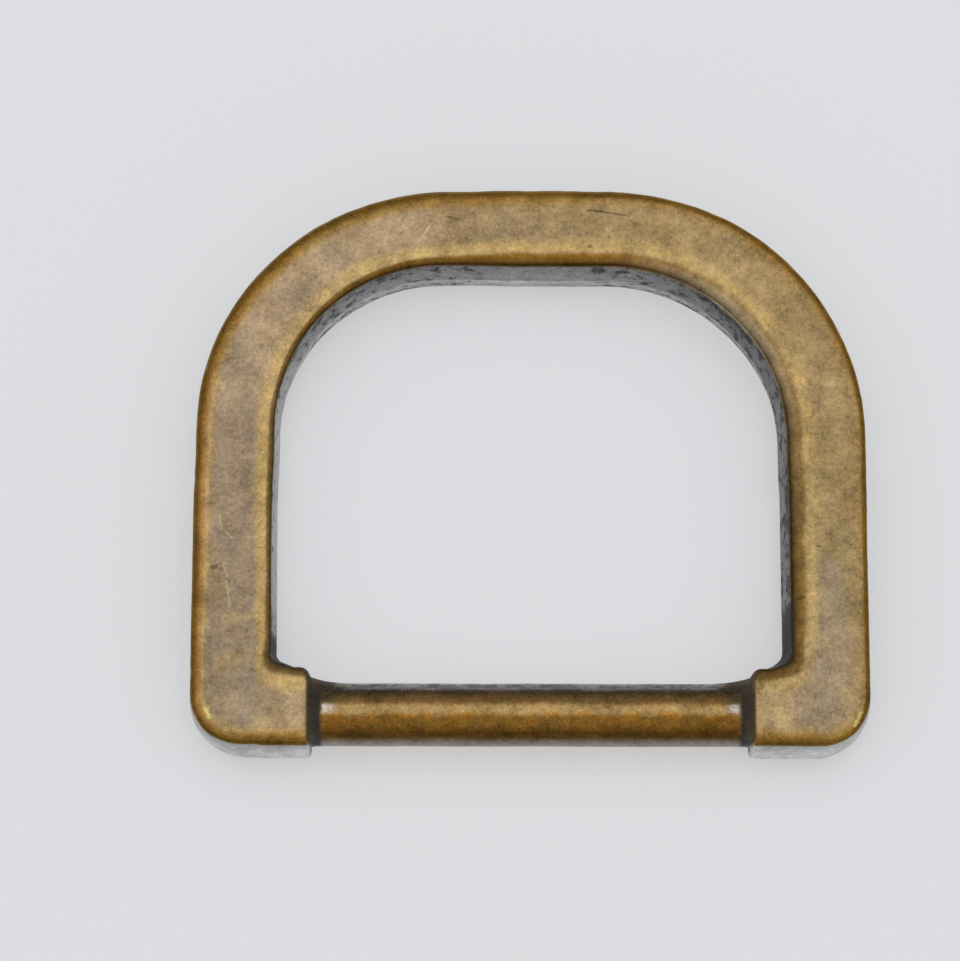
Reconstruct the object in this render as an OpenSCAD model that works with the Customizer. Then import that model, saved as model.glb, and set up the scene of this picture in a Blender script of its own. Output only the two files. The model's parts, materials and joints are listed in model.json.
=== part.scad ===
// A cast D ring for a flat strap: an arch on two legs, whose feet turn in to
// shoulders and carry a round strap bar between them. The ring lies on its back.
// Origin: the middle of the underside. +X runs along the bar, +Y towards the
// arch, +Z up out of the face. Front and back are alike about the parting line,
// which runs round every cast wall at half the thickness.

/* [Strap] */
// Clear length between the shoulders, which is the width of the strap
strap_w = 25; // [16:0.5:40]
// Diameter of the strap bar
bar_d = 3.6; // [2.5:0.1:4.2]
// Height of the bar's axis above the bottom edge
bar_rise = 2.5; // [2.3:0.1:2.8]
// Radius of the fillet where the bar runs into a shoulder
bar_fillet_r = 0.45; // [0.1:0.05:0.6]

/* [Ring] */
// Height from the bottom edge to the top of the arch
ring_h = 33.5; // [28:0.5:45]
// Thickness from the underside to the face
thickness = 5; // [4.4:0.1:6]
// Width of each leg
leg_w = 5; // [4:0.1:7]
// Width of the arch's band at its middle
arch_band_w = 5.2; // [4:0.1:8]
// Outer radius of the arch's corners
arch_r = 15.2; // [8:0.1:17]
// Outer radius of the feet's corners
foot_r = 3.3; // [2:0.1:5]

/* [Window] */
// Radius of the window's corners at the arch
window_r = 10; // [5:0.1:13]
// How far each shoulder reaches in from its leg
shoulder_w = 2; // [1.6:0.1:4]
// Height of the shoulders above the bottom edge
shoulder_h = 5.2; // [4.9:0.1:7]
// Radius of the crook between a leg and its shoulder
crook_r = 0.7; // [0.3:0.1:1.1]
// Radius of each shoulder's upper corner
shoulder_r = 0.45; // [0.1:0.05:0.55]

/* [Casting] */
// Lean of the cast walls away from the parting line, in degrees
draft = 11; // [2:0.5:14]
// Rounding of the edges round the face and the underside
edge_r = 0.6; // [0.2:0.05:0.9]

/* [Hidden] */

$fn = 96;
antique_brass = [0.60, 0.51, 0.34];

// Flat pieces that stand for a quarter round, in small radii
round_steps = 6;
// How far a cutter runs on past what it cuts
past = 1;
// Depth to which the bar's ends are rooted in the shoulders
bar_root = 1.5;
// Least flat width of a shoulder's end face left round the bar's fillet
fillet_land = 0.05;

window_w = strap_w + 2 * shoulder_w;
ring_w = window_w + 2 * leg_w;
bottom_y = -ring_h / 2;
top_y = ring_h / 2;
shoulder_y = bottom_y + shoulder_h;
window_top_y = top_y - arch_band_w;
bar_y = bottom_y + bar_rise;
bar_r = bar_d / 2;
mid_z = thickness / 2;

// Height of the edge rounding's centre above the parting line
rounding_z = mid_z - edge_r;
// How far a wall has leaned and rounded away from the outline where it meets a face
face_inset = rounding_z * tan(draft) + edge_r / cos(draft);

// The fillet is limited by the end face that it stands on
bar_fillet = min(
    bar_fillet_r,
    bar_rise * cos(draft) - bar_r - fillet_land,
    shoulder_h - shoulder_r - bar_rise - bar_r - fillet_land,
    mid_z - bar_r - fillet_land
);

// Upper half of a cast wall as [distance in from the outline, height above the parting line]
wall_half = [
    for (i = [0:round_steps])
        let (turn = draft + (90 - draft) * i / round_steps)
        [face_inset - edge_r * cos(turn), rounding_z + edge_r * sin(turn)]
];

// A whole cast wall as [distance in from the outline, z], from the underside to the face
block_wall = concat(
    [for (p = reversed(wall_half)) [p.x, mid_z - p.y]],
    [[0, mid_z]],
    [for (p = wall_half) [p.x, mid_z + p.y]]
);

// The same wall for a cutter, which runs on past the underside and the face
cutter_wall = concat([[face_inset, -past]], block_wall, [[face_inset, thickness + past]]);

// A length rounded to a thousandth of a millimetre, which is printed in full, so that pieces
// placed from it meet without a gap
function to_micron(length) = round(length * 1000) / 1000;

function reversed(points) = [for (i = [len(points) - 1:-1:0]) points[i]];

// A wall stood at a place, leaning to higher values where way is 1 and to lower ones where it is -1
function wall_at(wall, place, way) = [for (p = wall) [place + way * p.x, p.y]];

// A section between two walls that face away from each other
function between(wall, low, high, lean) =
    concat(wall_at(wall, low, lean), reversed(wall_at(wall, high, -lean)));

// A section from an upright line at start out to a wall at place
function out_to(wall, start, place, lean) =
    concat(
        [[start, wall[0].y]],
        wall_at(wall, place, place > start ? -lean : lean),
        [[start, wall[len(wall) - 1].y]]
    );

// Draws a section of [y, z] along X, to equal lengths on both sides of the middle
module along_x(length) {
    rotate([90, 0, 90])
        linear_extrude(length, center = true)
            children();
}

// Draws a section of [x, z] along Y, from low to high
module along_y(low, high) {
    translate([0, high, 0])
        rotate([90, 0, 0])
            linear_extrude(high - low)
                children();
}

// A quarter turn of a wall on both sides, about the points [+-x, y]. side is 1 above them and -1 below
module corners(wall, x, y, radius, lean, side) {
    for (mirrored = [0, 1])
        mirror([mirrored, 0, 0])
            translate([x, y, 0])
                rotate([0, 0, side > 0 ? 0 : -90])
                    rotate_extrude(angle = 90)
                        polygon(out_to(wall, 0, radius, lean));
}

// A plate with rounded corners and cast walls. lean is 1 for a solid, whose walls lean in
// towards the faces, and -1 for a cutter, whose walls lean out. The straight pieces along X start
// at half its height, well inside the piece along Y
module plate(wall, width, low, high, high_r, low_r, lean) {
    half = to_micron(width / 2);
    top_r = to_micron(high_r);
    top_bend = to_micron(high) - top_r;
    base_r = to_micron(low_r);
    base_bend = to_micron(low) + base_r;
    middle = (top_bend + base_bend) / 2;
    along_x(2 * (half - top_r))
        polygon(out_to(wall, middle, top_bend + top_r, lean));
    along_y(base_bend, top_bend)
        polygon(between(wall, -half, half, lean));
    along_x(2 * (half - base_r))
        polygon(out_to(wall, middle, base_bend - base_r, lean));
    corners(wall, half - top_r, top_bend, top_r, lean, 1);
    corners(wall, half - base_r, base_bend, base_r, lean, -1);
}

// The arch, legs and feet before anything is cut out of them
module block() {
    plate(block_wall, ring_w, bottom_y, top_y, arch_r, foot_r, 1);
}

// The window under the arch, down to the tops of the shoulders
module window_cut() {
    plate(cutter_wall, window_w, shoulder_y, window_top_y, window_r, crook_r, -1);
}

// The gap between the shoulders, where the strap goes round the bar
module strap_cut() {
    translate([-strap_w / 2, bottom_y - past, -past])
        cube([strap_w, shoulder_h + crook_r + past, thickness + 2 * past]);
}

// Rounds the upper corner of each shoulder
module shoulder_cut() {
    arc = [
        for (i = [0:round_steps])
            let (turn = 90 + 90 * i / round_steps)
            [strap_w / 2 + shoulder_r * (1 + cos(turn)), shoulder_y - shoulder_r * (1 - sin(turn))]
    ];
    waste = [
        [strap_w / 2 - past, shoulder_y - shoulder_r],
        [strap_w / 2 - past, shoulder_y + past],
        [strap_w / 2 + shoulder_r, shoulder_y + past]
    ];
    for (mirrored = [0, 1])
        mirror([mirrored, 0, 0])
            translate([0, 0, -past])
                linear_extrude(thickness + 2 * past)
                    polygon(concat(arc, waste));
}

// The strap bar with its filleted ends, rooted in both shoulders
module bar() {
    fillet = [
        for (i = [0:round_steps])
            let (turn = 90 * i / round_steps)
            [bar_r + bar_fillet * (1 - cos(turn)), strap_w / 2 - bar_fillet * (1 - sin(turn))]
    ];
    end = concat(fillet, [[bar_r, strap_w / 2], [bar_r, strap_w / 2 + bar_root], [0, strap_w / 2 + bar_root]]);
    translate([0, bar_y, mid_z])
        rotate([0, 90, 0])
            rotate_extrude()
                polygon(concat(end, [for (p = reversed(end)) [p.x, -p.y]]));
}

// The whole casting
module d_ring() {
    color(antique_brass) {
        difference() {
            block();
            window_cut();
            strap_cut();
            shoulder_cut();
        }
        bar();
    }
}

d_ring();
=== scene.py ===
"""A cast D ring with an antique brass finish, lying face up on a pale surface.

The ring is one casting, so it is one mesh: a closed sweep that goes over the arch, down the right
leg, round the foot, along the strap bar and back up the left side. Each loop of points across the
sweep starts at the outer parting line and runs over the face to the inner one, then back underneath.
Lengths are in millimetres in the frame of the part, and become metres when the mesh is made.
"""
import json
import math

import bpy
import numpy as np
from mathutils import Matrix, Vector


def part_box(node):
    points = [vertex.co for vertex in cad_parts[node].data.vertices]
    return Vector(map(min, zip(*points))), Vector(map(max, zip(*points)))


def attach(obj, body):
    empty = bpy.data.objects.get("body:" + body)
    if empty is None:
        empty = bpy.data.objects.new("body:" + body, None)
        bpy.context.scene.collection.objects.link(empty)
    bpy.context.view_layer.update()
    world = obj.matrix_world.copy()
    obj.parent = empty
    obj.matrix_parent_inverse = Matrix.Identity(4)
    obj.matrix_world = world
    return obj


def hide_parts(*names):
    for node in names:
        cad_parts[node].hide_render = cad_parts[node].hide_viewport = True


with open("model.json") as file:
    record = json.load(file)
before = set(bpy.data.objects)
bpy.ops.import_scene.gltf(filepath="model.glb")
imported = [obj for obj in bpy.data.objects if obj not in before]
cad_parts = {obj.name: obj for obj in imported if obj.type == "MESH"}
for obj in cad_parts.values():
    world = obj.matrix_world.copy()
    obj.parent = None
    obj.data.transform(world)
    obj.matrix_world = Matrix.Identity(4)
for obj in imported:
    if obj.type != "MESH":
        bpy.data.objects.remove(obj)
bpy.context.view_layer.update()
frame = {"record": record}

# Units
MM = 0.001

# Sizes that the frame gives
box_low, box_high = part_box("d_ring")
RING_W = (box_high.x - box_low.x) / MM
RING_H = (box_high.y - box_low.y) / MM
THICKNESS = (box_high.z - box_low.z) / MM
BAR_MOUNT = next(m for m in frame["record"]["mounts"] if m["name"] == "strap_bar")
BAR_R = BAR_MOUNT["dims"]["r_mm"]
BAR_Y = BAR_MOUNT["pos_m"][1] / MM
MID_Z = THICKNESS / 2

# Sizes of the outline, at the parting line
ARCH_BAND_W = 5.17
FOOT_R = 3.4
CROOK_R = 0.6
SHOULDER_H = 5.50
STRAP_W = 25.0
# Length of the leg's inner side that belongs to the foot's turn
HEEL = 0.8
# How far short of the shoulder's rounding its plain stretch stops
END_GAP = 0.02

# How much of the full offset the crook's radius grows by from the parting line to the face
CROOK_GROWTH = 0.4
# Length of the leg over which that takes hold
CROOK_REACH = 3.0

# How much lower the face is at its edges than along its middle, and the slope that it has there
CROWN_POWER = 4
CROWN_SLOPE = math.radians(7)

# The height of a rolled edge as a share of its width, and the most that it can be
ROLL_SHAPE = 0.62
ROLL_H = 0.5
# The power that crowds the steps of a wall towards the parting line
WALL_CROWDING = 1.3

# How far along the sweep the places of the tables lie: the arch's middle, its corner's start, middle
# and end, low on the leg, the foot's start, the foot's corner, its end and the shoulder's end
PLACES = (0, 1, 1.5, 2, 2.85, 3, 3.5, 4, 5)

# Each side's outline and, at the places, its cast edges. A roll is the width of an edge's rounding in
# millimetres, a draft is in degrees and under is the draft below the parting line. Shine is how
# bright the wall's metal is, soot is how much of it is blackened, grey is how much the middle of the
# face has dulled, and the last is how much of the roll is painted as a bright, worn flat, a painted
# highlight on a roll that stays round.
SIDES = {
    1: {
        "leg_w": 5.04,
        "arch_r": 15.2,
        "window_r": 10.1,
        "outer_roll": (0.90, 0.75, 0.55, 0.42, 0.42, 0.42, 0.38, 0.60, 0.60),
        "inner_roll": (1.10, 0.95, 1.50, 1.42, 1.35, 1.30, 1.20, 1.10, 1.00),
        "outer_draft": (8, 6, 5, 5, 5, 5, 5, 11, 11),
        "inner_draft": (8, 8.5, 9, 10.5, 10.5, 10.5, 11, 11, 9),
        "inner_under": (6.6, 6.8, 7, 8, 8, 8, 9, 9, 9),
        "outer_shine": (0.15, 0.12, 0.10, 0.10, 0.20, 0.20, 0.45, 0.54, 0.54),
        "inner_shine": (0.26, 0.22, 0.14, 0.11, 0.10, 0.04, 0.04, 0.04, 0.04),
        "inner_soot": (0.1, 0.6, 0.9, 0.8, 0.9, 1.0, 1.0, 1.0, 1.0),
        "grey": (0.4, 0.3, 0.15, 0.35, 0.8, 0.8, 0.9, 0.9, 0.3),
        "lit_bevel": (0, 0, 1, 0.2, 0, 0, 0, 0, 0),
    },
    -1: {
        "leg_w": 4.88,
        "arch_r": 15.0,
        "window_r": 9.55,
        "outer_roll": (0.90, 0.88, 0.85, 0.62, 0.58, 0.58, 0.45, 0.56, 0.58),
        "inner_roll": (1.10, 0.58, 0.46, 0.42, 0.42, 0.42, 0.48, 0.85, 0.85),
        "outer_draft": (8, 6, 5, 4, 4, 4, 5, 11, 11),
        "inner_draft": (8, 6.5, 5.5, 5.5, 5.5, 5.5, 6, 10, 9),
        "inner_under": (6.6, 6.2, 6, 8, 8, 8, 9, 9, 9),
        "outer_shine": (0.15, 0.10, 0.06, 0.06, 0.20, 0.20, 0.45, 0.54, 0.54),
        "inner_shine": (0.26, 0.22, 0.20, 0.29, 0.26, 0.05, 0.05, 0.05, 0.05),
        "inner_soot": (0.1, 0.6, 0.8, 0.25, 0.3, 0.8, 1.0, 1.0, 1.0),
        "grey": (0.4, 0.4, 0.5, 1.0, 1.0, 1.0, 0.9, 0.9, 0.5),
        "lit_bevel": (0, 0, 0, 0, 0, 0, 0, 0, 0),
    },
}

# Where the casting strays from that outline: the side, the edge, how far it goes outwards along X and
# along Y, and the places between which it starts, is full, ends and is gone
STRAYS = (
    (1, "outer", 0.00, -0.12, (0.20, 1.03, 1.14, 1.40)),
    (-1, "outer", 0.00, -0.12, (0.20, 1.03, 1.14, 1.40)),
    (-1, "outer", 0.05, 0.00, (1.50, 1.62, 1.70, 1.86)),
    (-1, "outer", -0.08, 0.00, (1.85, 1.98, 2.05, 2.30)),
    (1, "outer", -0.04, 0.00, (2.00, 2.50, 3.30, 3.80)),
    (-1, "outer", 0.00, 0.05, (3.40, 3.80, 4.10, 4.40)),
    (1, "inner", -0.06, 0.00, (1.70, 1.95, 2.10, 2.30)),
    (-1, "inner", -0.08, 0.00, (1.50, 1.80, 2.10, 2.35)),
    (-1, "inner", 0.00, 0.07, (0.10, 0.70, 1.50, 1.80)),
    (-1, "inner", -0.05, 0.00, (2.60, 3.00, 3.40, 3.90)),
    (1, "inner", 0.00, -0.32, (3.70, 5.00, 6.00, 7.00)),
    (-1, "inner", 0.00, -0.26, (3.90, 5.00, 6.00, 7.00)),
)

# The end of a shoulder towards the arch, the face and the bottom edge: where its rounding starts
# beyond the strap's gap, its convex radius, its slope, and the fillet's height and length
UP_END = {"start": 0.85, "convex": 0.75, "slope": math.radians(60), "fillet": 0.75, "reach": 2.9}
FACE_END = {"start": 0.24, "convex": 0.14, "slope": math.radians(86), "fillet": 0.45, "reach": 0.74}
DOWN_END = {"start": 0.44, "convex": 0.28, "slope": math.radians(78), "fillet": 0.24, "reach": 0.42}
# How far a direction round the bar has to turn up or down before the upper and the lower end set in
# and have taken over, as shares of the full turn
UP_TURN = (0.48, 0.92)
DOWN_TURN = (0.60, 1.00)
# The most of the drop to the bar that the rounding and the fillet may take
END_FIT = 0.97
# How much of the bar's finish has set in where the fillet starts
BAR_AT_FILLET = 0.2
# The power with which the soot sets in over the rounding, and the share of the fillet at which it
# starts to fade
SOOT_POWER = 0.7
SOOT_FADE = 0.80

# Lengths of the steps along the sweep, and the numbers of steps across a wall, a roll and the face
ARCH_STEP = 0.14
FOOT_STEP = 0.13
BAR_STEP = 0.25
UPPER_STEPS = (8, 9, 34)
LOWER_STEPS = (4, 5, 12)
# Numbers of steps from the plain stretch to the rounding, over it, down the slope and along the fillet
END_STEPS = {"lead": 5, "convex": 8, "slope": 5, "fillet": 12}

# Unevenness of the rolls' widths: its height as a share, the size of its swells and its seed
OUTER_ROLL_WAVES = (0.05, 5.0, 5)
INNER_ROLL_WAVES = (0.06, 4.0, 6)
# Unevenness of the surface: its height, the size of its swells and its seed
SURFACE_WAVES = (
    (0.005, 4.0, 11),
    (0.003, 1.3, 12),
    (0.003, 0.6, 13),
)
# How many swells are added up, and the shortest and the longest as shares of their size
WAVE_COUNT = 28
WAVE_RANGE = (0.6, 1.7)

# Colours of the finish, as red, green and blue in linear light
PALETTE = {
    "tan": (0.475, 0.318, 0.140),
    "light tan": (0.585, 0.402, 0.190),
    "warm brown": (0.430, 0.262, 0.100),
    "lilac grey": (0.410, 0.298, 0.192),
    "green grey": (0.435, 0.322, 0.165),
    "lilac dust": (0.352, 0.270, 0.198),
    "green dust": (0.365, 0.278, 0.155),
    "peach": (0.600, 0.430, 0.262),
    "shade": (0.360, 0.245, 0.105),
    "honey": (0.620, 0.430, 0.215),
    "grey": (0.385, 0.305, 0.205),
    "gold": (0.660, 0.475, 0.215),
    "pale": (0.620, 0.455, 0.270),
    "brown": (0.400, 0.235, 0.090),
    "olive": (0.330, 0.245, 0.110),
    "orange": (0.560, 0.285, 0.095),
    # Golds of the face's edges: worn brass, partly painted highlight
    "gold wear and highlight": (0.670, 0.460, 0.172),
    "deep gold": (0.640, 0.410, 0.140),
    "bright gold and highlight": (0.680, 0.460, 0.190),
    "amber": (0.430, 0.215, 0.030),
    "dark amber": (0.370, 0.185, 0.026),
    "left roll": (0.345, 0.215, 0.070),
    "right roll": (0.325, 0.188, 0.045),
    # The bright flat painted on a roll, a painted highlight
    "lit_bevel": (0.640, 0.485, 0.290),
    # Dark lines of painted shade, low on the rolls
    "outer shade line": (0.105, 0.086, 0.016),
    "inner shade line": (0.090, 0.048, 0.014),
    "rim amber": (0.440, 0.235, 0.045),
    "rim orange": (0.600, 0.285, 0.085),
    "no light": (0.0, 0.0, 0.0),
    "plate": (1.0, 0.970, 0.955),
    "dark wall": (0.135, 0.093, 0.038),
    "worn wall": (0.225, 0.155, 0.064),
    "soot": (0.024, 0.024, 0.026),
    "crook soot": (0.040, 0.032, 0.025),
    "lower flank": (0.480, 0.222, 0.034),
    "upper flank": (0.370, 0.205, 0.072),
    "crown": (0.410, 0.262, 0.102),
    "tarnish": (0.260, 0.155, 0.045),
    "upper gunmetal": (0.215, 0.200, 0.180),
    "lower shade line": (0.120, 0.062, 0.014),
    "lower gunmetal": (0.235, 0.200, 0.168),
    "bar end": (0.170, 0.135, 0.075),
    "silver": (0.560, 0.500, 0.430),
    "root soot": (0.042, 0.035, 0.030),
    "shoulder stain": (0.170, 0.120, 0.055),
    "corner stain": (0.220, 0.140, 0.050),
    "dark mark": (0.100, 0.060, 0.030),
    "bright mark": (0.800, 0.660, 0.420),
    "corner yellow": (1.0, 0.820, 0.260),
    "fleck": (0.800, 0.600, 0.270),
    "pit": (0.130, 0.085, 0.050),
}

# Soft noise in the finish: its size, detail, roughness and shift
NOISES = {
    "gold": (1.0, 5.0, 0.75, 13.0),
    "width of the gold": (4.5, 2.0, 0.50, 101.0),
    "mottle": (0.65, 4.0, 0.72, 3.0),
    "crown": (1.2, 5.0, 0.75, 91.0),
    "root": (0.5, 4.0, 0.70, 111.0),
    "grain": (2.2, 5.0, 0.95, 41.0),
    "tooth": (0.21, 3.0, 0.80, 43.0),
    "relief": (0.14, 3.0, 0.60, 5.0),
    "gloss": (0.8, 3.0, 0.60, 51.0),
}
# Blots in the finish: the same four, and the values of the noise at which a blot starts and is full
BLOTS = {
    "light drifts": (2.6, 4.0, 0.65, 0.0, 0.48, 0.66),
    "brown drifts": (1.7, 4.0, 0.65, 31.0, 0.50, 0.66),
    "dulled": (1.9, 5.0, 0.68, 7.0, 0.25, 0.50),
    "dusty": (1.2, 5.0, 0.70, 19.0, 0.48, 0.62),
    "orange": (1.4, 4.0, 0.65, 61.0, 0.30, 0.55),
    "gold spots": (0.9, 4.0, 0.70, 71.0, 0.45, 0.62),
    "worn wall": (1.8, 5.0, 0.70, 121.0, 0.36, 0.66),
    "tarnish": (1.1, 4.0, 0.65, 83.0, 0.45, 0.62),
    "silver": (0.6, 3.0, 0.70, 37.0, 0.30, 0.50),
    "flecks": (0.10, 2.0, 0.60, 17.0, 0.58, 0.72),
    "pits": (0.13, 2.0, 0.60, 23.0, 0.62, 0.74),
}

# Regions of the ring, each bounded by ramps: an axis, where on it the region is gone and where it is
# full. The axis out is the distance to either side of the middle.
REGIONS = {
    "arch": (("y", 0.0, 8.0),),
    "left arch": (("x", -4.0, -7.0), ("y", 1.0, 5.0)),
    "left of the arch": (("x", 4.0, -2.0), ("y", 1.0, 5.0)),
    "below the arch": (("y", 9.0, 3.0),),
    "left edge": (("x", -12.0, -14.5),),
    "left half": (("x", 1.0, -1.0),),
    "right half": (("x", -5.0, 5.0),),
    "middle and right": (("x", -6.0, 2.0),),
    "right side": (("x", -3.0, 7.0), ("y", -11.5, -8.5)),
    "right end": (("x", 8.0, 13.0),),
    "legs": (("out", 12.0, 14.5), ("y", 8.0, 4.0)),
    "left leg": (("out", 12.0, 14.5), ("y", 8.0, 4.0), ("x", 1.0, -1.0)),
    "right leg": (("x", 8.0, 12.0), ("y", -10.5, -8.5), ("y", 4.0, 0.0)),
    "right foot": (("x", 8.0, 12.0), ("y", -9.0, -10.5)),
    "lower edge": (("y", -14.3, -15.3),),
    "shoulder ends": (("out", 12.86, 12.68), ("y", -11.0, -11.4), ("y", -16.1, -15.8)),
}

# The noise of a stroke's ragged edge, as its size, detail and roughness, the shift that gives strokes
# of other widths other edges, how far the edge strays and where the fading starts, as shares of the width
STROKE_NOISE = (0.22, 1.0, 0.5)
STROKE_SHIFT = 90
STROKE_RAGGEDNESS = 1.6
STROKE_CORE = 0.35

# Small marks on the face, each from one point to another, with its width
DARK_MARKS = (
    ((3.36, 15.15), (4.18, 15.08), 0.10),
    ((4.18, 15.08), (5.58, 14.84), 0.07),
    ((3.47, 12.96), (3.50, 12.98), 0.14),
    ((-4.92, 14.78), (-4.16, 14.60), 0.06),
    ((-18.15, -6.12), (-17.97, -6.08), 0.19),
    ((15.25, -7.90), (15.60, -7.80), 0.13),
    ((16.40, -4.84), (16.48, -4.84), 0.12),
    ((18.30, -4.78), (18.36, -4.78), 0.10),
)
BRIGHT_MARKS = (
    ((-6.49, 13.26), (-5.79, 14.29), 0.06),
    ((-17.79, -3.17), (-17.68, -3.88), 0.05),
    ((-17.54, -4.03), (-17.00, -4.46), 0.06),
    ((-17.63, -5.89), (-17.27, -6.68), 0.04),
    ((-17.34, -6.97), (-17.14, -8.48), 0.05),
)
# The stains on the face, each from one point to another, with its width, the share of it that shows
# and its colour
STAINS = (
    ((-11.60, 12.60), (-10.90, 12.20), 0.90, 0.45, "grey"),
    ((-13.80, 10.20), (-13.00, 9.50), 1.10, 0.40, "grey"),
    ((-16.60, 6.90), (-16.90, 3.60), 1.30, 0.40, "grey"),
    ((-10.00, 11.40), (-6.60, 12.30), 0.80, 0.50, "gold"),
    ((-18.10, -6.90), (-17.80, -7.60), 0.75, 0.55, "olive"),
    ((-16.40, -12.20), (-16.20, -14.60), 1.20, 0.50, "grey"),
    ((-13.30, -13.20), (-13.40, -15.00), 0.70, 0.45, "pale"),
    ((18.00, -1.90), (18.50, -3.30), 0.60, 0.55, "brown"),
    ((18.30, -4.00), (16.80, -5.30), 0.30, 0.50, "olive"),
    ((16.05, -2.10), (16.10, -10.20), 0.38, 0.50, "gold"),
    ((17.10, -6.20), (17.20, -10.00), 1.00, 0.60, "grey"),
    ((16.90, -11.60), (16.30, -14.60), 1.20, 0.50, "grey"),
    ((14.00, -12.80), (14.30, -15.40), 0.80, 0.45, "gold"),
)
# The dark corners where a leg meets its shoulder, from one point to another, with the width
DARK_CROOKS = (
    ((15.00, -8.6), (14.40, -11.6), 0.75),
    ((-14.80, -10.3), (-14.10, -11.8), 0.60),
)
# The stain at the right shoulder's upper corner
CORNER_STAIN = ((12.85, -13.0), (13.05, -12.45), 0.42)
# Corners painted bright yellow
BRIGHT_CORNERS = (
    ((-18.45, -14.30), (-18.20, -14.80), 0.15),
    ((18.70, -14.50), (18.32, -15.20), 0.15),
)


def smooth(value, low, high):
    """0 below low, 1 above high, and a smooth rise in between."""
    share = np.clip((value - low) / (high - low), 0.0, 1.0)
    return share * share * (3 - 2 * share)


def shares(count):
    """Equal steps from 0 to 1, without the 0."""
    return np.linspace(0, 1, count + 1)[1:]


def line(start, end):
    """A straight piece of an outline: its length, and its points and leftward directions at distances."""
    start, end = np.asarray(start, float), np.asarray(end, float)
    length = math.dist(start, end)
    along = (end - start) / length
    way = np.array([-along[1], along[0]])

    def at(distance):
        return start + along * distance[:, None], np.tile(way, (len(distance), 1))

    return length, at


def quarter(centre, radius, start):
    """A quarter turn clockwise, from an angle in degrees: its length, points and outward directions."""
    def at(distance):
        turn = math.radians(start) - distance / radius
        way = np.column_stack([np.cos(turn), np.sin(turn)])
        return np.asarray(centre) + radius * way, way

    return radius * math.pi / 2, at


def trace(pieces, distances):
    """Points and directions at distances along the pieces of an outline."""
    points = np.zeros((len(distances), 2))
    ways = np.zeros((len(distances), 2))
    start = 0.0
    for length, at in pieces:
        here = distances >= start
        points[here], ways[here] = at(distances[here] - start)
        start += length
    return points, ways


def half_outline(side):
    """Stations of one half, as on the right, from the arch's middle to the end of the shoulder.

    Returns the outer points and the directions into the metal there, the same for the inner points,
    and how far each station has travelled through the places.
    """
    arch_r, window_r = SIDES[side]["arch_r"], SIDES[side]["window_r"]
    half_w = RING_W / 2
    inner_w = half_w - SIDES[side]["leg_w"]
    top, bottom = RING_H / 2, -RING_H / 2
    window_top = top - ARCH_BAND_W
    shoulder = bottom + SHOULDER_H
    end_x = STRAP_W / 2 + UP_END["start"] + END_GAP
    arch_c = (half_w - arch_r, top - arch_r)
    window_c = (inner_w - window_r, window_top - window_r)
    foot_c = (half_w - FOOT_R, bottom + FOOT_R)
    crook_c = (inner_w - CROOK_R, shoulder + CROOK_R)
    outer = [
        line((0, top), (arch_c[0], top)),
        quarter(arch_c, arch_r, 90),
        line((half_w, arch_c[1]), (half_w, foot_c[1])),
        quarter(foot_c, FOOT_R, 0),
        line((foot_c[0], bottom), (end_x, bottom)),
    ]
    inner = [
        line((0, window_top), (window_c[0], window_top)),
        quarter(window_c, window_r, 90),
        line((inner_w, window_c[1]), (inner_w, crook_c[1])),
        quarter(crook_c, CROOK_R, 0),
        line((crook_c[0], shoulder), (end_x, shoulder)),
    ]
    outer_knots = np.cumsum([0] + [length for length, _ in outer])
    inner_knots = np.cumsum([0] + [length for length, _ in inner])
    turn_share = outer[3][0] / (outer[3][0] + outer[4][0])
    heel_start = inner_knots[3] - HEEL
    heel_end = heel_start + (inner_knots[5] - heel_start) * turn_share
    inner_stops = [0, inner_knots[1], inner_knots[2], heel_start, heel_end, inner_knots[5]]
    steps = [ARCH_STEP, ARCH_STEP * arch_r * 2 / (arch_r + window_r), ARCH_STEP, FOOT_STEP, FOOT_STEP]
    travel = [np.zeros(1)]
    for i, step in enumerate(steps):
        count = round((outer_knots[i + 1] - outer_knots[i]) / step)
        travel.append(i + shares(count))
    travel = np.concatenate(travel)
    outer_at = np.interp(travel, range(len(outer_knots)), outer_knots)
    inner_at = np.interp(travel, range(len(inner_stops)), inner_stops)
    outer_pts, outer_way = trace(outer, outer_at)
    inner_pts, inner_way = trace(inner, inner_at)
    for stray_side, edge, out, up, (start, full, ending, gone) in STRAYS:
        if stray_side == side:
            share = smooth(travel, start, full) * (1 - smooth(travel, ending, gone))
            points = outer_pts if edge == "outer" else inner_pts
            points += share[:, None] * np.array([out, up])
    held = smooth(inner_at, inner_knots[3] - CROOK_REACH, inner_knots[3])
    held *= 1 - smooth(inner_at, (inner_knots[3] + inner_knots[4]) / 2, inner_knots[5])
    corner = np.array([1.0, -1.0]) - inner_way
    inner_in = inner_way + (held * (1 - CROOK_GROWTH))[:, None] * corner
    return outer_pts, -outer_way, inner_pts, inner_in, travel


def along_side(side, name, travel):
    """The value of one of the side's columns at each station."""
    return np.interp(travel, PLACES, SIDES[side][name])


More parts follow.
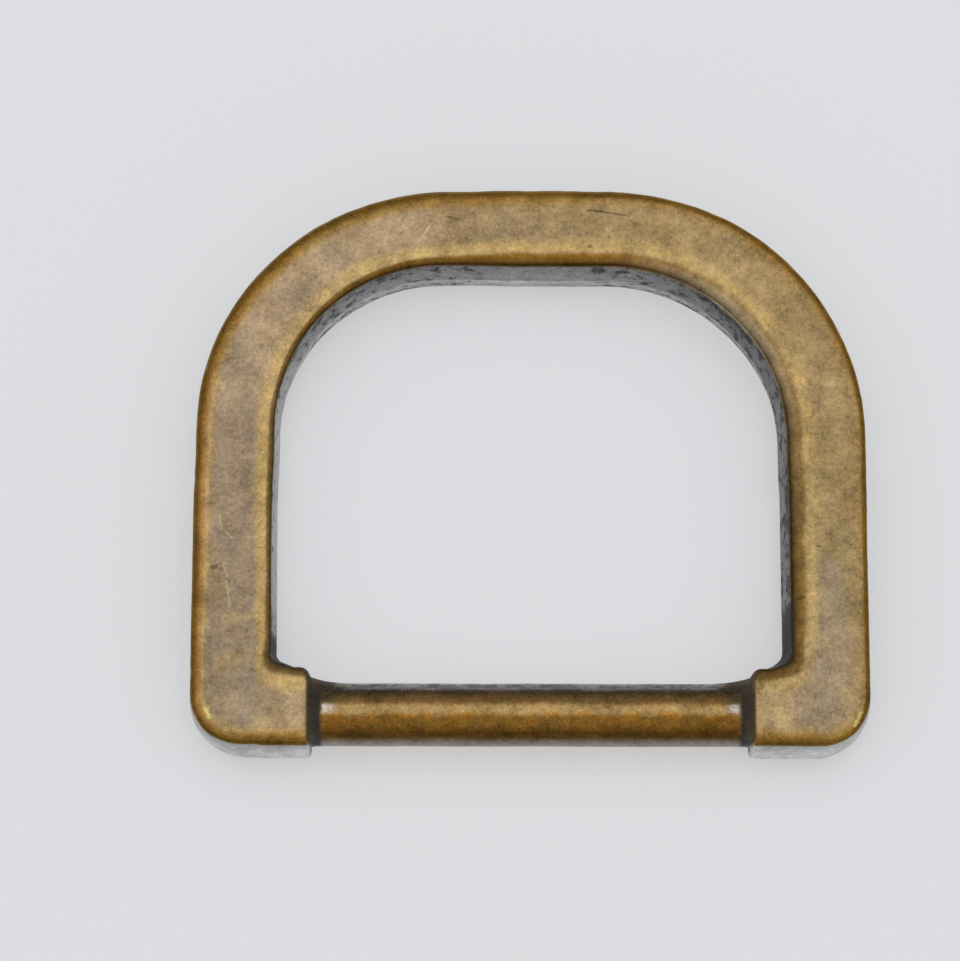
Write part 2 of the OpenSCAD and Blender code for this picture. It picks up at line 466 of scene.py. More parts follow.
def wall_profile(roll_w, draft, edge_z, wall_steps, roll_steps):
    """Walls from the parting line to the face's edge, one for each station, rolled over as an ellipse.

    Returns the distance in from the outline, the height above the parting line, the length along the
    wall up to the face's edge, which is negative, and how far down the edge it is: 1 at the end of
    the roll and 2 at the parting line.
    """
    draft = np.radians(draft)[:, None]
    roll_w = roll_w[:, None]
    roll_h = np.minimum(ROLL_SHAPE * roll_w, ROLL_H)
    first = np.arctan(roll_h * np.tan(draft) / roll_w)
    last = np.arctan(roll_h / (roll_w * math.tan(CROWN_SLOPE)))
    centre_z = edge_z[:, None] - roll_h * np.sin(last)
    centre_in = (centre_z + roll_h * np.sin(first)) * np.tan(draft) + roll_w * np.cos(first)
    up = np.linspace(0, 1, roll_steps + 1)
    turn = first + (last - first) * up
    rolled = np.stack([centre_in - roll_w * np.cos(turn), centre_z + roll_h * np.sin(turn)], axis=2)
    share = np.linspace(0, 1, wall_steps, endpoint=False) ** WALL_CROWDING
    wall = np.concatenate([rolled[:, :1] * share[None, :, None], rolled], axis=1)
    steps = np.linalg.norm(np.diff(wall, axis=1), axis=2)
    remaining = np.cumsum(steps[:, ::-1], axis=1)[:, ::-1]
    to_edge = -np.concatenate([remaining, np.zeros((len(wall), 1))], axis=1)
    down = np.tile(np.concatenate([2 - share, 1 - up]), (len(wall), 1))
    return wall[:, :, 0], wall[:, :, 1], to_edge, down


def uneven_roll(side, name, travel, points, swells):
    """The width of an edge's roll at each station, with its swells."""
    height, size, seed = swells
    return along_side(side, name, travel) * (1 + height * waves(points * side, size, seed))


def section(side, outline, draft_name, steps):
    """Half of the sweep's loops, over the face or under it, with what is known about each point."""
    outer, outer_in, inner, inner_in, travel = outline
    *wall_steps, face_steps = steps
    half_face = np.linalg.norm((inner + inner_in) - (outer + outer_in), axis=1) / 2
    crown_drop = half_face * math.tan(CROWN_SLOPE) / CROWN_POWER
    edge_z = MID_Z - crown_drop
    outer_roll = uneven_roll(side, "outer_roll", travel, outer, OUTER_ROLL_WAVES)
    inner_roll = uneven_roll(side, "inner_roll", travel, inner, INNER_ROLL_WAVES)
    outer_draft = along_side(side, "outer_draft", travel)
    inner_draft = along_side(side, draft_name, travel)
    out_in, out_z, out_edge, out_down = wall_profile(outer_roll, outer_draft, edge_z, *wall_steps)
    in_in, in_z, in_edge, in_down = wall_profile(inner_roll, inner_draft, edge_z, *wall_steps)
    outer_wall = outer[:, None, :] + outer_in[:, None, :] * out_in[:, :, None]
    inner_wall = inner[:, None, :] + inner_in[:, None, :] * in_in[:, :, None]
    share = np.linspace(0, 1, face_steps + 1)[1:-1]
    first, last = outer_wall[:, -1:, :], inner_wall[:, -1:, :]
    face = first * (1 - share[None, :, None]) + last * share[None, :, None]
    width = np.linalg.norm(last - first, axis=2)
    face_z = MID_Z - crown_drop[:, None] * np.abs(2 * share - 1)[None, :] ** CROWN_POWER
    across = np.concatenate([outer_wall, face, inner_wall[:, ::-1]], axis=1)
    height = np.concatenate([out_z, face_z, in_z[:, ::-1]], axis=1)
    grid = np.concatenate([across, height[:, :, None]], axis=2)
    on_outer = np.arange(grid.shape[1]) < grid.shape[1] / 2
    flat = np.zeros((len(grid), len(share)))

    def by_edge(outer_name, inner_name):
        """A column of the outer edge over the loop's first half, and one of the inner edge after it."""
        return np.where(on_outer, along_side(side, outer_name, travel)[:, None],
                        along_side(side, inner_name, travel)[:, None])

    facts = {
        "from_outer": np.concatenate([out_edge, width * share, width - in_edge[:, ::-1]], axis=1),
        "from_inner": np.concatenate([width - out_edge, width * (1 - share), in_edge[:, ::-1]], axis=1),
        "down": np.concatenate([out_down, flat, in_down[:, ::-1]], axis=1),
        "shine": by_edge("outer_shine", "inner_shine"),
        "soot": by_edge("inner_soot", "inner_soot") * ~on_outer,
        "grey": by_edge("grey", "grey"),
        "lit_bevel": by_edge("lit_bevel", "lit_bevel") * ~on_outer,
    }
    return grid, facts


def sweep(side):
    """One half as a grid [station, point across], with what is known about each point."""
    outline = half_outline(side)
    grid, facts = section(side, outline, "inner_draft", UPPER_STEPS)
    under, under_facts = section(side, outline, "inner_under", LOWER_STEPS)
    under[:, :, 2] *= -1
    grid = np.concatenate([grid, under[:, -2:0:-1]], axis=1)
    grid[:, :, 2] += MID_Z
    facts = {name: np.concatenate([facts[name], under_facts[name][:, -2:0:-1]], axis=1) for name in facts}
    facts["bar"] = np.zeros(grid.shape[:2])
    facts["fillet"] = np.zeros(grid.shape[:2])
    return grid, facts


def end_numbers(turn_up):
    """The numbers of the shoulder's end for each direction round the bar, 1 being towards the arch."""
    up = smooth(turn_up, *UP_TURN)
    down = smooth(-turn_up, *DOWN_TURN)
    level = 1 - up - down
    return {key: FACE_END[key] * level + UP_END[key] * up + DOWN_END[key] * down for key in FACE_END}


def bar_half(last, facts):
    """Carries the last station over the end of the shoulder and along the bar to its middle.

    Each row holds x, the distance from the bar's axis in each direction round it, how far the bar's
    finish has set in and how much soot there is.
    """
    centre = np.array([BAR_Y, MID_Z])
    spoke = last[:, 1:3] - centre
    reach = np.linalg.norm(spoke, axis=1)
    way = spoke / reach[:, None]
    end = end_numbers(way[:, 0])
    drop = reach - BAR_R
    convex, fillet, slope = end["convex"], end["fillet"], end["slope"]
    fit = np.minimum(1.0, END_FIT * drop / ((convex + fillet) * (1 - np.cos(slope))))
    convex, fillet = convex * fit, fillet * fit
    length = end["reach"] * fit
    straight = (drop - (convex + fillet) * (1 - np.cos(slope))) / np.sin(slope)
    start_x = STRAP_W / 2 + end["start"]

    rows = []
    for share in shares(END_STEPS["lead"]):
        rows.append((last[:, 0] * (1 - share) + start_x * share, reach, 0.0, 0.0))
    for share in shares(END_STEPS["convex"]):
        turn = slope * share
        x = start_x - convex * np.sin(turn)
        radius = reach - convex * (1 - np.cos(turn))
        rows.append((x, radius, 0.0, share ** SOOT_POWER))
    x_here, radius_here = rows[-1][:2]
    for share in shares(END_STEPS["slope"]):
        x = x_here - straight * np.cos(slope) * share
        radius = radius_here - straight * np.sin(slope) * share
        rows.append((x, radius, BAR_AT_FILLET * share, 1.0))
    x_here, radius_here = rows[-1][:2]
    for share in shares(END_STEPS["fillet"]):
        turn = slope * (1 - share)
        x = x_here - length * (np.sin(slope) - np.sin(turn))
        radius = radius_here - fillet * (np.cos(turn) - np.cos(slope))
        on_bar = BAR_AT_FILLET + (1 - BAR_AT_FILLET) * share
        rows.append((x, radius, on_bar, 1 - smooth(share, SOOT_FADE, 1.0)))
    x_here = rows[-1][0]
    for share in shares(round(STRAP_W / 2 / BAR_STEP)):
        rows.append((x_here * (1 - share), np.full_like(reach, BAR_R), 1.0, 0.0))
    grid = np.empty((len(rows), len(reach), 3))
    bar = np.empty((len(rows), len(reach)))
    dark = np.empty((len(rows), len(reach)))
    for i, (x, radius, on_bar, on_fillet) in enumerate(rows):
        grid[i, :, 0] = x
        grid[i, :, 1:3] = centre + way * radius[:, None]
        bar[i] = on_bar
        dark[i] = on_fillet
    more = {name: np.tile(value[-1], (len(rows), 1)) for name, value in facts.items()}
    more["bar"] = bar
    more["fillet"] = dark
    return grid, more


def half_ring(side):
    """One half with its half of the bar, from the arch's middle to the bar's."""
    grid, facts = sweep(side)
    bar_grid, bar_facts = bar_half(grid[-1], facts)
    grid = np.concatenate([grid, bar_grid])
    grid[:, :, 0] *= side
    return grid, {name: np.concatenate([facts[name], bar_facts[name]]) for name in facts}


def waves(points, size, seed):
    """Smooth unevenness of about unit height, whose swells are about size across."""
    draw = np.random.RandomState(seed)
    way = draw.normal(size=(WAVE_COUNT, points.shape[-1]))
    way /= np.linalg.norm(way, axis=1)[:, None]
    length = size * draw.uniform(*WAVE_RANGE, WAVE_COUNT)
    phase = draw.uniform(0, 2 * math.pi, WAVE_COUNT)
    total = np.zeros(points.shape[:-1])
    for i in range(WAVE_COUNT):
        total += np.sin(points @ way[i] * (2 * math.pi / length[i]) + phase[i])
    return total / math.sqrt(WAVE_COUNT / 2)


def normals(grid):
    """Directions out of the surface at the points of a grid that closes on itself both ways."""
    along = np.roll(grid, -1, axis=0) - np.roll(grid, 1, axis=0)
    across = np.roll(grid, -1, axis=1) - np.roll(grid, 1, axis=1)
    out = np.cross(across, along)
    return out / np.linalg.norm(out, axis=2)[:, :, None]


def ring_grid():
    """The whole ring as a closed grid [station, point across], with what is known about each point."""
    right, right_facts = half_ring(1)
    left, left_facts = half_ring(-1)
    grid = np.concatenate([right, left[-2:0:-1]])
    facts = {name: np.concatenate([right_facts[name], left_facts[name][-2:0:-1]]) for name in right_facts}
    uneven = sum(height * waves(grid, size, seed) for height, size, seed in SURFACE_WAVES)
    grid = grid + normals(grid) * uneven[:, :, None]
    low = np.array([box_low.x, box_low.y, box_low.z]) / MM
    high = np.array([box_high.x, box_high.y, box_high.z]) / MM
    return np.clip(grid, low, high), facts


def ring_mesh():
    """The ring's mesh, which carries what is known about each point as attributes."""
    grid, facts = ring_grid()
    count, across = grid.shape[:2]
    index = np.arange(count * across).reshape(count, across)
    ahead = np.roll(index, -1, axis=0)
    quads = np.stack([index, np.roll(index, -1, axis=1), np.roll(ahead, -1, axis=1), ahead], axis=2)
    mesh = bpy.data.meshes.new("d_ring_casting")
    mesh.from_pydata((grid.reshape(-1, 3) * MM).tolist(), [], quads.reshape(-1, 4).tolist())
    mesh.update()
    mesh.shade_smooth()
    for name, value in facts.items():
        attribute = mesh.attributes.new(name, "FLOAT", "POINT")
        attribute.data.foreach_set("value", value.astype(np.float32).ravel())
    return mesh


def camera():
    """The camera at the photograph's angle, whose image is taken as 960 by 961 pixels."""
    image_h = 961
    focal_px = 3744.6
    sensor = 36
    tilt = math.radians(13.03)
    roll = math.radians(0.096)
    distance = 217.4
    aim = Vector((-2.821, -0.467, MID_Z))
    data = bpy.data.cameras.new("camera")
    data.sensor_width = sensor
    data.lens = focal_px / image_h * sensor
    data.clip_start = 0.01
    data.clip_end = 20
    made = bpy.data.objects.new("camera", data)
    back = Vector((0, -math.sin(tilt), math.cos(tilt)))
    made.location = (aim + back * distance) * MM
    made.rotation_euler = (tilt, 0, roll)
    bpy.context.scene.collection.objects.link(made)
    bpy.context.scene.camera = made


def floor():
    """A pale surface that glows a little, as a light table does, so that shadows on it stay weak."""
    half = 1500 * MM
    corners = [(-half, -half, 0), (half, -half, 0), (half, half, 0), (-half, half, 0)]
    mesh = bpy.data.meshes.new("floor")
    mesh.from_pydata(corners, [], [(0, 1, 2, 3)])
    made = bpy.data.objects.new("floor", mesh)
    bpy.context.scene.collection.objects.link(made)
    material = bpy.data.materials.new("floor")
    material.use_nodes = True
    shader = material.node_tree.nodes["Principled BSDF"]
    shader.inputs["Base Color"].default_value = (0.74, 0.75, 0.77, 1)
    shader.inputs["Roughness"].default_value = 0.9
    shader.inputs["Emission Color"].default_value = (0.97, 0.98, 1.0, 1)
    shader.inputs["Emission Strength"].default_value = 0.43
    mesh.materials.append(material)


def soft_light():
    """A wide round light over the ring, a little behind it."""
    distance = 600
    lean = math.radians(11)
    radius = 225
    radiance = 0.70
    data = bpy.data.lights.new("overhead", "AREA")
    data.shape = "DISK"
    data.size = 2 * radius * MM
    data.energy = radiance * math.pi * math.pi * (radius * MM) ** 2
    made = bpy.data.objects.new("overhead", data)
    place = Vector((0, math.sin(lean), math.cos(lean))) * distance
    made.location = place * MM
    made.rotation_euler = place.to_track_quat("Z", "Y").to_euler()
    bpy.context.scene.collection.objects.link(made)


def studio():
    """Surroundings that are brightest overhead and dim at eye level, before a pale backdrop."""
    world = bpy.data.worlds.new("studio")
    bpy.context.scene.world = world
    world.use_nodes = True
    tree = world.node_tree
    background = tree.nodes["Background"]
    direction = tree.nodes.new("ShaderNodeTexCoord")
    parts = tree.nodes.new("ShaderNodeSeparateXYZ")
    tree.links.new(direction.outputs["Generated"], parts.inputs[0])
    rise = tree.nodes.new("ShaderNodeMapRange")
    rise.interpolation_type = "SMOOTHSTEP"
    rise.inputs["From Min"].default_value = 0.0
    rise.inputs["From Max"].default_value = 0.95
    rise.inputs["To Min"].default_value = 0.08
    rise.inputs["To Max"].default_value = 0.42
    tree.links.new(parts.outputs["Z"], rise.inputs["Value"])
    seen = tree.nodes.new("ShaderNodeLightPath")
    choice = tree.nodes.new("ShaderNodeMix")
    choice.inputs["B"].default_value = 0.7
    tree.links.new(seen.outputs["Is Camera Ray"], choice.inputs["Factor"])
    tree.links.new(rise.outputs["Result"], choice.inputs["A"])
    tree.links.new(choice.outputs["Result"], background.inputs["Strength"])
    background.inputs["Color"].default_value = (0.97, 0.985, 1.0, 1)


class Finish:
    """A metal whose look is written as a formula. Each call adds a node and gives its result."""

    def __init__(self, name, ground):
        self.material = bpy.data.materials.new(name)
        self.material.use_nodes = True
        self.tree = self.material.node_tree
        self.shader = self.tree.nodes["Principled BSDF"]
        self.colour = ground
        self.soot = 0.0
        coordinates = self.tree.nodes.new("ShaderNodeTexCoord").outputs["Object"]
        self.place = self.vector("SCALE", coordinates, 1 / MM)
        self.flat = self.vector("MULTIPLY", self.place, (1, 1, 0))
        parts = self.tree.nodes.new("ShaderNodeSeparateXYZ")
        self.tree.links.new(self.place, parts.inputs[0])
        self.x, self.y, self.z = parts.outputs
        self.out = self.maths("ABSOLUTE", self.x)

    def put(self, socket, value):
        """Sets a socket to a number, a vector, a colour of the palette or another node's result."""
        if isinstance(value, bpy.types.NodeSocket):
            self.tree.links.new(value, socket)
        elif isinstance(value, str):
            socket.default_value = (*PALETTE[value], 1.0)
        else:
            socket.default_value = value

    def vector(self, how, first, second=(0, 0, 0)):
        node = self.tree.nodes.new("ShaderNodeVectorMath")
        node.operation = how
        self.put(node.inputs[0], first)
        self.put(node.inputs["Scale"] if how == "SCALE" else node.inputs[1], second)
        return node.outputs["Value"] if how in ("LENGTH", "DOT_PRODUCT") else node.outputs[0]

    def fact(self, name):
        """What is known about each point of the mesh, by its name."""
        node = self.tree.nodes.new("ShaderNodeAttribute")
        node.attribute_name = name
        return node.outputs["Fac"]

    def maths(self, how, first, second=0.0):
        node = self.tree.nodes.new("ShaderNodeMath")
        node.operation = how
        self.put(node.inputs[0], first)
        self.put(node.inputs[1], second)
        return node.outputs[0]

    def times(self, first, *others):
        for other in others:
            first = self.maths("MULTIPLY", first, other)
        return first

    def plus(self, first, *others):
        for other in others:
            first = self.maths("ADD", first, other)
        return first

    def minus(self, first, second):
        return self.maths("SUBTRACT", first, second)

    def soft_noise(self, size, detail, rough, shift):
        """Soft noise from 0 to 1 whose blots are about size millimetres across."""
        node = self.tree.nodes.new("ShaderNodeTexNoise")
        node.inputs["Scale"].default_value = 1 / size
        node.inputs["Detail"].default_value = detail
        node.inputs["Roughness"].default_value = rough
        self.put(node.inputs["Vector"], self.vector("ADD", self.place, (shift, shift * 0.7, shift * 0.3)))
        return node.outputs[0]

    def noise(self, name):
        return self.soft_noise(*NOISES[name])

    def blots(self, name):
        """1 in soft blots and 0 between them."""
        *kind, low, high = BLOTS[name]
        return self.rise(self.soft_noise(*kind), low, high)

    def rise(self, value, low, high):
        """0 at low, 1 at high, smooth in between."""
        node = self.tree.nodes.new("ShaderNodeMapRange")
        node.interpolation_type = "SMOOTHSTEP"
        self.put(node.inputs["Value"], value)
        node.inputs["From Min"].default_value = low
        node.inputs["From Max"].default_value = high
        return node.outputs["Result"]

    def fall(self, value, low, high):
        """1 at low, 0 at high, smooth in between."""
        return self.minus(1.0, self.rise(value, low, high))

    def band(self, value, start, full, end, gone):
        """1 from full to end, fading to 0 at start and at gone."""
        return self.times(self.rise(value, start, full), self.fall(value, end, gone))

    def ramp(self, value, none, full):
        """0 at none, 1 at full, smooth in between, whichever of them is the lower."""
        return self.rise(value, none, full) if none < full else self.fall(value, full, none)

    def region(self, name):
        """1 in a region of the ring and 0 outside it."""
        axes = {"x": self.x, "y": self.y, "out": self.out}
        return self.times(*[self.ramp(axes[axis], none, full) for axis, none, full in REGIONS[name]])

    def blend(self, share, first, second):
        """A colour between two colours."""
        node = self.tree.nodes.new("ShaderNodeMix")
        node.data_type = "RGBA"
        colours = [socket for socket in node.inputs if socket.type == "RGBA"]
        self.put(node.inputs["Factor"], share)
        self.put(colours[0], first)
        self.put(colours[1], second)
        return next(socket for socket in node.outputs if socket.type == "RGBA")

    def paint(self, share, colour):
        """Lays a share of another colour over what is there."""
        self.colour = self.blend(share, self.colour, colour)

    def blacken(self, share, colour):
        """Lays soot over what is there, which doesn't shine as the metal does."""
        self.paint(share, colour)
        self.soot = self.maths("MAXIMUM", self.soot, share)

    def stroke(self, start, end, width):
        """1 along a ragged line on the face from one point to another, and 0 away from it."""
        start, end = Vector((*start, 0)), Vector((*end, 0))
        along = end - start
        there = self.vector("SUBTRACT", self.flat, start)
        share = self.times(self.vector("DOT_PRODUCT", there, along), 1 / along.length_squared)
        share = self.maths("MINIMUM", self.maths("MAXIMUM", share, 0.0), 1.0)
        nearest = self.vector("SCALE", along, share)
        away = self.vector("LENGTH", self.vector("SUBTRACT", there, nearest))
        stray = self.minus(self.soft_noise(*STROKE_NOISE, width * STROKE_SHIFT), 0.5)
        ragged = self.plus(away, self.times(stray, width * STROKE_RAGGEDNESS))
        return self.fall(ragged, width * STROKE_CORE, width)


def from_edge(metal):
    """The distance across the face from its nearer edge."""
    return metal.maths("MINIMUM", metal.fact("from_outer"), metal.fact("from_inner"))


def window_side(metal):
    """1 on the side of the band that looks into the window and 0 on the outer side."""
    return metal.rise(metal.minus(metal.fact("from_outer"), metal.fact("from_inner")), -0.5, 0.5)


def face_tones(metal):
    """The rubbed face: tan, with light and brown drifts, dulled to grey along the middle."""
    edge = from_edge(metal)
    lighter = metal.plus(0.65, metal.times(metal.region("arch"), 0.3))
    metal.paint(metal.times(metal.blots("light drifts"), lighter), "light tan")
    browner = metal.plus(0.2, metal.fall(edge, 0.2, 1.0))
    metal.paint(metal.times(metal.blots("brown drifts"), browner), "warm brown")
    dulled = metal.times(metal.fact("grey"), metal.blots("dulled"), metal.rise(edge, 0.3, 0.85))
    right = metal.region("right side")
    metal.paint(metal.times(dulled, 0.95), metal.blend(right, "lilac grey", "green grey"))
    dusty = metal.times(dulled, metal.blots("dusty"))
    metal.paint(metal.times(dusty, 0.75), metal.blend(right, "lilac dust", "green dust"))
    metal.paint(metal.times(metal.region("left arch"), 0.50), "peach")
    metal.paint(metal.times(metal.region("right leg"), 0.28), "shade")
    metal.paint(metal.times(metal.region("right foot"), 0.30), "honey")


def stains(metal):
    """The larger stains and rubbed places of the face, where the photograph shows them."""
    level = metal.fall(metal.fact("down"), 0.0, 0.2)
    upper = metal.rise(metal.z, MID_Z, MID_Z + 1.0)
    on_face = metal.times(level, upper, metal.minus(1.0, metal.fact("bar")))
    for start, end, width, share, tone in STAINS:
        metal.paint(metal.times(metal.stroke(start, end, width), on_face, share), tone)


def orange_side(metal):
    """The orange cast along the left leg's outer side."""
    outer = metal.fall(metal.fact("from_outer"), -0.05, 0.25)
    metal.paint(metal.times(outer, metal.region("left edge"), metal.blots("orange"), 0.9), "orange")


def gold_edges_and_highlights(metal):
    """Bright yellow along the edges of the face, strongest on the window's side: partly worn brass and
    partly painted highlight.
    """
    weaker = metal.plus(metal.times(metal.region("middle and right"), 0.22),
                        metal.times(metal.region("right end"), 0.33))
    patchy = metal.times(metal.noise("gold"), metal.minus(1.35, weaker))
    drift = metal.plus(0.50, metal.noise("width of the gold"))
    inner = metal.band(metal.times(metal.fact("from_inner"), drift), -0.06, 0.10, 0.22, 1.05)
    metal.paint(metal.times(inner, patchy), "gold wear and highlight")
    from_outer = metal.fact("from_outer")
    outer = metal.band(from_outer, -0.08, 0.10, 0.18, 0.45)
    metal.paint(metal.times(outer, metal.blots("gold spots"), 0.8), "deep gold")
    # A bright streak along the left leg's outer edge, partly worn brass and partly a painted highlight.
    streak = metal.band(from_outer, 0.10, 0.24, 0.34, 0.52)
    metal.paint(metal.times(streak, metal.region("left leg"), 0.6), "bright gold and highlight")


def rolled_edges(metal):
    """The amber rolls, which end above the wall in a dark line of painted shade, standing in for the dark
    surroundings that the turned-down metal reflects.
    """
    down = metal.fact("down")
    lit_bevel = metal.fact("lit_bevel")
    inner = window_side(metal)
    arch_tone = metal.blend(inner, "amber", "dark amber")
    leg_tone = metal.blend(metal.region("right half"), "left roll", "right roll")
    on_leg = metal.times(inner, metal.region("below the arch"))
    thick = metal.times(metal.rise(down, 0.0, 0.15), metal.minus(0.95, metal.times(lit_bevel, 0.75)))
    metal.paint(thick, metal.blend(on_leg, arch_tone, leg_tone))
    # Painted highlight: a bright tan flat on the roll, where a worn flat would catch the light; the mesh
    # keeps the roll round.
    flat = metal.times(lit_bevel, metal.band(down, 0.14, 0.32, 0.90, 0.99))
    metal.paint(metal.times(flat, 0.9), "lit_bevel")
    # Painted shade: the dark line low on each roll, where the metal turns down towards the wall.
    dark = metal.times(metal.band(down, 0.44, 0.82, 1.00, 1.13), metal.plus(0.75, metal.times(inner, 0.25)))
    dark = metal.times(dark, metal.minus(1.0, metal.times(lit_bevel, 0.85)))
    metal.paint(dark, metal.blend(inner, "outer shade line", "inner shade line"))


def outer_rim(metal):
    """Amber that runs on from the outer roll over the edge of the face, and turns orange on a leg."""
    from_outer = metal.fact("from_outer")
    on_arch = metal.region("left of the arch")
    at_foot = metal.region("lower edge")
    legs = metal.times(metal.region("legs"), metal.minus(1.0, at_foot))
    wider = metal.minus(from_outer, metal.times(on_arch, 0.12))
    rim = metal.times(metal.fall(wider, 0.0, 0.45), metal.fall(metal.fact("down"), 0.1, 0.5))
    rim = metal.times(rim, metal.minus(1.0, metal.times(legs, 0.7)))
    strength = metal.plus(0.55, metal.times(metal.maths("MAXIMUM", on_arch, at_foot), 0.25))
    metal.paint(metal.times(rim, strength), "rim amber")
    orange = metal.times(metal.band(from_outer, -0.30, -0.12, 0.06, 0.20), legs)
    metal.paint(metal.times(orange, metal.region("left half"), 0.6), "rim orange")


def cast_walls(metal):
    """The plated walls, grey on the window's side and at the feet and brown along the outside."""
    down = metal.fact("down")
    inner = window_side(metal)
    # Painted reflection: on the window's side the wall below the parting line is painted lighter, for the
    # floor that it mirrors at a grazing angle; the wall is also painted lighter towards the parting line
    # and darker towards the face.
    below = metal.times(inner, metal.fall(metal.z, MID_Z - 0.12, MID_Z + 0.02))
    fade = metal.plus(0.75, metal.times(metal.rise(down, 1.0, 1.8), 0.35))
    shine = metal.times(metal.fact("shine"), fade, metal.plus(1.0, metal.times(below, 0.6)))
    plate = metal.blend(shine, "no light", "plate")
    brown = metal.blend(metal.blots("worn wall"), "dark wall", "worn wall")
    outside = metal.times(metal.minus(1.0, inner), metal.fall(metal.fact("shine"), 0.12, 0.40), 0.9)
    metal.paint(metal.rise(down, 0.96, 1.09), metal.blend(outside, plate, brown))


def wall_soot(metal):
    """Mottled soot on the window's walls, and the black corners between the legs and shoulders."""
    down = metal.fact("down")
    upper = metal.times(metal.fall(down, 1.15, 1.60), 0.05)
    mottle = metal.plus(metal.noise("mottle"), upper, metal.times(metal.fact("soot"), 0.15))
    on_wall = metal.times(metal.rise(down, 0.96, 1.09), window_side(metal))
    metal.blacken(metal.times(on_wall, metal.rise(mottle, 0.61, 0.77), 0.9), "soot")
    off_face = metal.rise(down, 0.3, 1.0)
    for start, end, width in DARK_CROOKS:
        metal.blacken(metal.times(metal.stroke(start, end, width), off_face), "crook soot")


def strap_bar(metal):
    """The bar: a rubbed crown between amber flanks, which turn to gunmetal low down."""
    around = metal.times(metal.minus(metal.y, BAR_Y), 1 / BAR_R)
    brass = metal.blend(metal.rise(around, -0.15, 0.15), "lower flank", "upper flank")
    uneven = metal.times(metal.minus(metal.noise("crown"), 0.5), 0.85)
    rubbed = metal.band(metal.plus(around, uneven), -0.24, -0.05, 0.10, 0.32)
    brass = metal.blend(rubbed, brass, "crown")
    brass = metal.blend(metal.times(metal.blots("tarnish"), 0.45), brass, "tarnish")
    brass = metal.blend(metal.rise(around, 0.50, 0.72), brass, "upper gunmetal")
    # Painted shade: a dark band low on the front of the bar, where it reflects the dark surroundings near
    # the horizon.
    brass = metal.blend(metal.fall(around, -0.80, -0.62), brass, "lower shade line")
    brass = metal.blend(metal.fall(around, -0.98, -0.80), brass, "lower gunmetal")
    ends = metal.times(metal.rise(metal.out, 10.4, 11.6), metal.rise(around, 0.08, 0.30))
    brass = metal.blend(metal.times(ends, 0.8), brass, "bar end")
    at_end = metal.band(metal.out, 10.8, 11.7, 11.80, 12.00)
    on_crown = metal.band(around, -0.16, 0.02, 0.12, 0.26)
    brass = metal.blend(metal.times(at_end, on_crown, metal.blots("silver")), brass, "silver")
    metal.paint(metal.fact("bar"), brass)


def bar_roots(metal):
    """The soot round the bar's ends, whose edge is ragged and which stays off the lowest part."""
    ragged = metal.plus(metal.out, metal.times(metal.minus(metal.noise("root"), 0.5), 0.5))
    root = metal.times(metal.fact("bar"), metal.rise(ragged, 11.74, 12.10))
    fillet = metal.times(metal.fact("fillet"), metal.rise(ragged, 10.9, 11.5))
    dark = metal.maths("MAXIMUM", fillet, root)
    metal.blacken(metal.times(dark, metal.rise(metal.y, -16.25, -15.95)), "root soot")


def shoulder_ends(metal):
    """Brown stain at the shoulders' ends, widest at the right one's upper corner."""
    off_bar = metal.minus(1.0, metal.fact("bar"))
    metal.paint(metal.times(off_bar, metal.region("shoulder ends"), 0.8), "shoulder stain")
    metal.paint(metal.times(metal.stroke(*CORNER_STAIN), off_bar, 0.7), "corner stain")


def marks(metal):
    """Scratches, a crack, pits and bright yellow corners where the photograph shows them."""
    upper = metal.rise(metal.z, MID_Z + 0.5, MID_Z + 1.0)
    for start, end, width in DARK_MARKS:
        metal.paint(metal.times(metal.stroke(start, end, width), upper, 0.7), "dark mark")
    for start, end, width in BRIGHT_MARKS:
        metal.paint(metal.times(metal.stroke(start, end, width), upper, 0.45), "bright mark")
    for start, end, width in BRIGHT_CORNERS:
        metal.paint(metal.times(metal.stroke(start, end, width), upper, 0.85), "corner yellow")


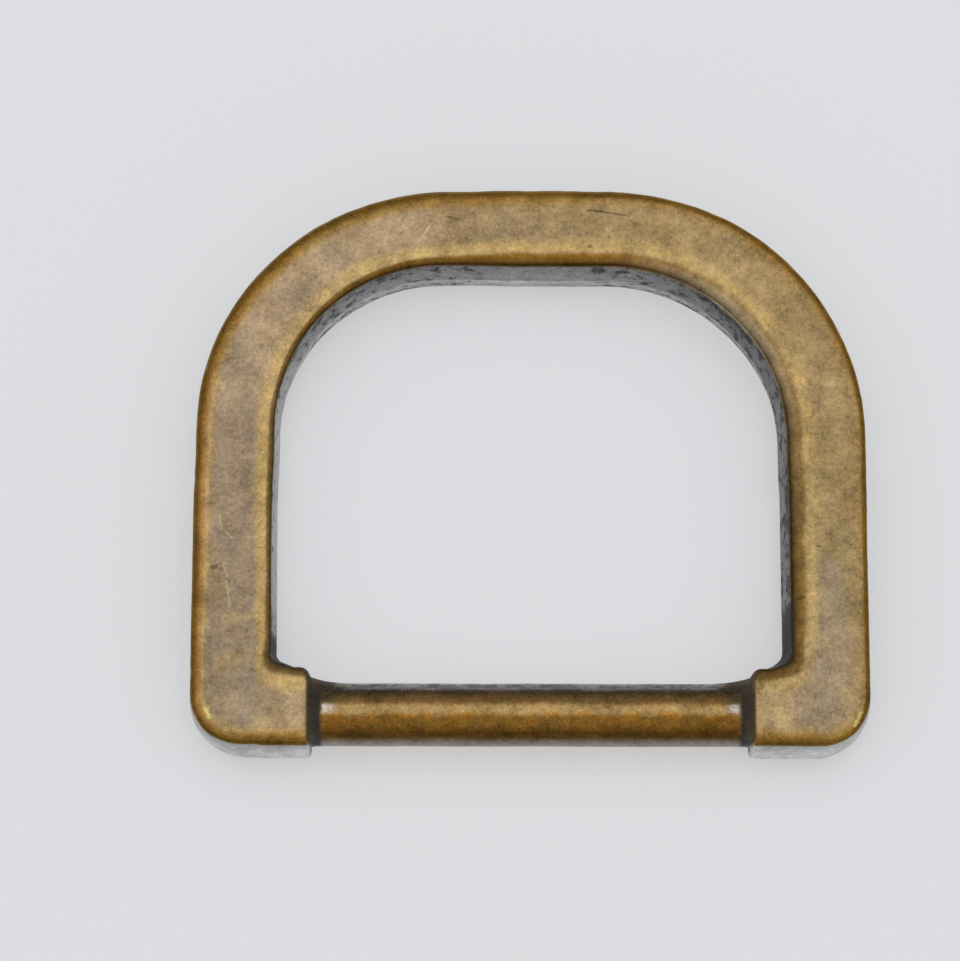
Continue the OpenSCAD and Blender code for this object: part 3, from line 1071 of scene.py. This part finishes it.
def speckle(metal):
    """Grain of every size from half a millimetre down, with bright flecks and dark pits."""
    amount = metal.plus(0.18, metal.times(metal.band(from_edge(metal), -0.4, 0.0, 0.3, 1.0), 0.5))
    clean = metal.times(metal.fall(metal.fact("down"), 0.9, 1.1), metal.minus(1.0, metal.fact("fillet")))
    metal.paint(metal.times(metal.blots("flecks"), amount, clean), "fleck")
    metal.paint(metal.times(metal.blots("pits"), 0.45), "pit")
    grain = metal.times(metal.minus(metal.noise("grain"), 0.5), 2.4)
    keen = metal.plus(0.85, metal.times(metal.fact("bar"), 0.45))
    tooth = metal.times(metal.minus(metal.noise("tooth"), 0.5), keen)
    metal.colour = metal.vector("SCALE", metal.colour, metal.plus(1.03, grain, tooth))


def relief(metal):
    """The fine tooth of the surface."""
    bump = metal.tree.nodes.new("ShaderNodeBump")
    bump.inputs["Strength"].default_value = 0.5
    bump.inputs["Distance"].default_value = 0.012 * MM
    metal.put(bump.inputs["Height"], metal.noise("relief"))
    metal.put(metal.shader.inputs["Normal"], bump.outputs[0])


def gloss(metal):
    """The shine of the metal, smoother on the walls and the bar, and dull where soot covers it."""
    metal.put(metal.shader.inputs["Metallic"], metal.minus(1.0, metal.times(metal.soot, 0.92)))
    smoothed = metal.maths("MAXIMUM", metal.rise(metal.fact("down"), 0.9, 1.1), metal.fact("bar"))
    matt = metal.plus(0.34, metal.times(metal.noise("gloss"), 0.14), metal.times(smoothed, -0.13))
    metal.put(metal.shader.inputs["Roughness"], metal.plus(matt, metal.times(metal.soot, 0.40)))


def antique_brass():
    """The whole finish, from the face's ground tone to the grain that lies over everything."""
    metal = Finish("antique_brass", "tan")
    face_tones(metal)
    stains(metal)
    orange_side(metal)
    gold_edges_and_highlights(metal)
    rolled_edges(metal)
    outer_rim(metal)
    cast_walls(metal)
    wall_soot(metal)
    strap_bar(metal)
    bar_roots(metal)
    shoulder_ends(metal)
    marks(metal)
    speckle(metal)
    metal.put(metal.shader.inputs["Base Color"], metal.colour)
    relief(metal)
    gloss(metal)
    return metal.material


bpy.context.scene.view_settings.view_transform = "Standard"
camera()
floor()
studio()
soft_light()
casting = bpy.data.objects.new("casting", ring_mesh())
bpy.context.scene.collection.objects.link(casting)
casting.data.materials.append(antique_brass())
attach(casting, "root")
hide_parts("d_ring")
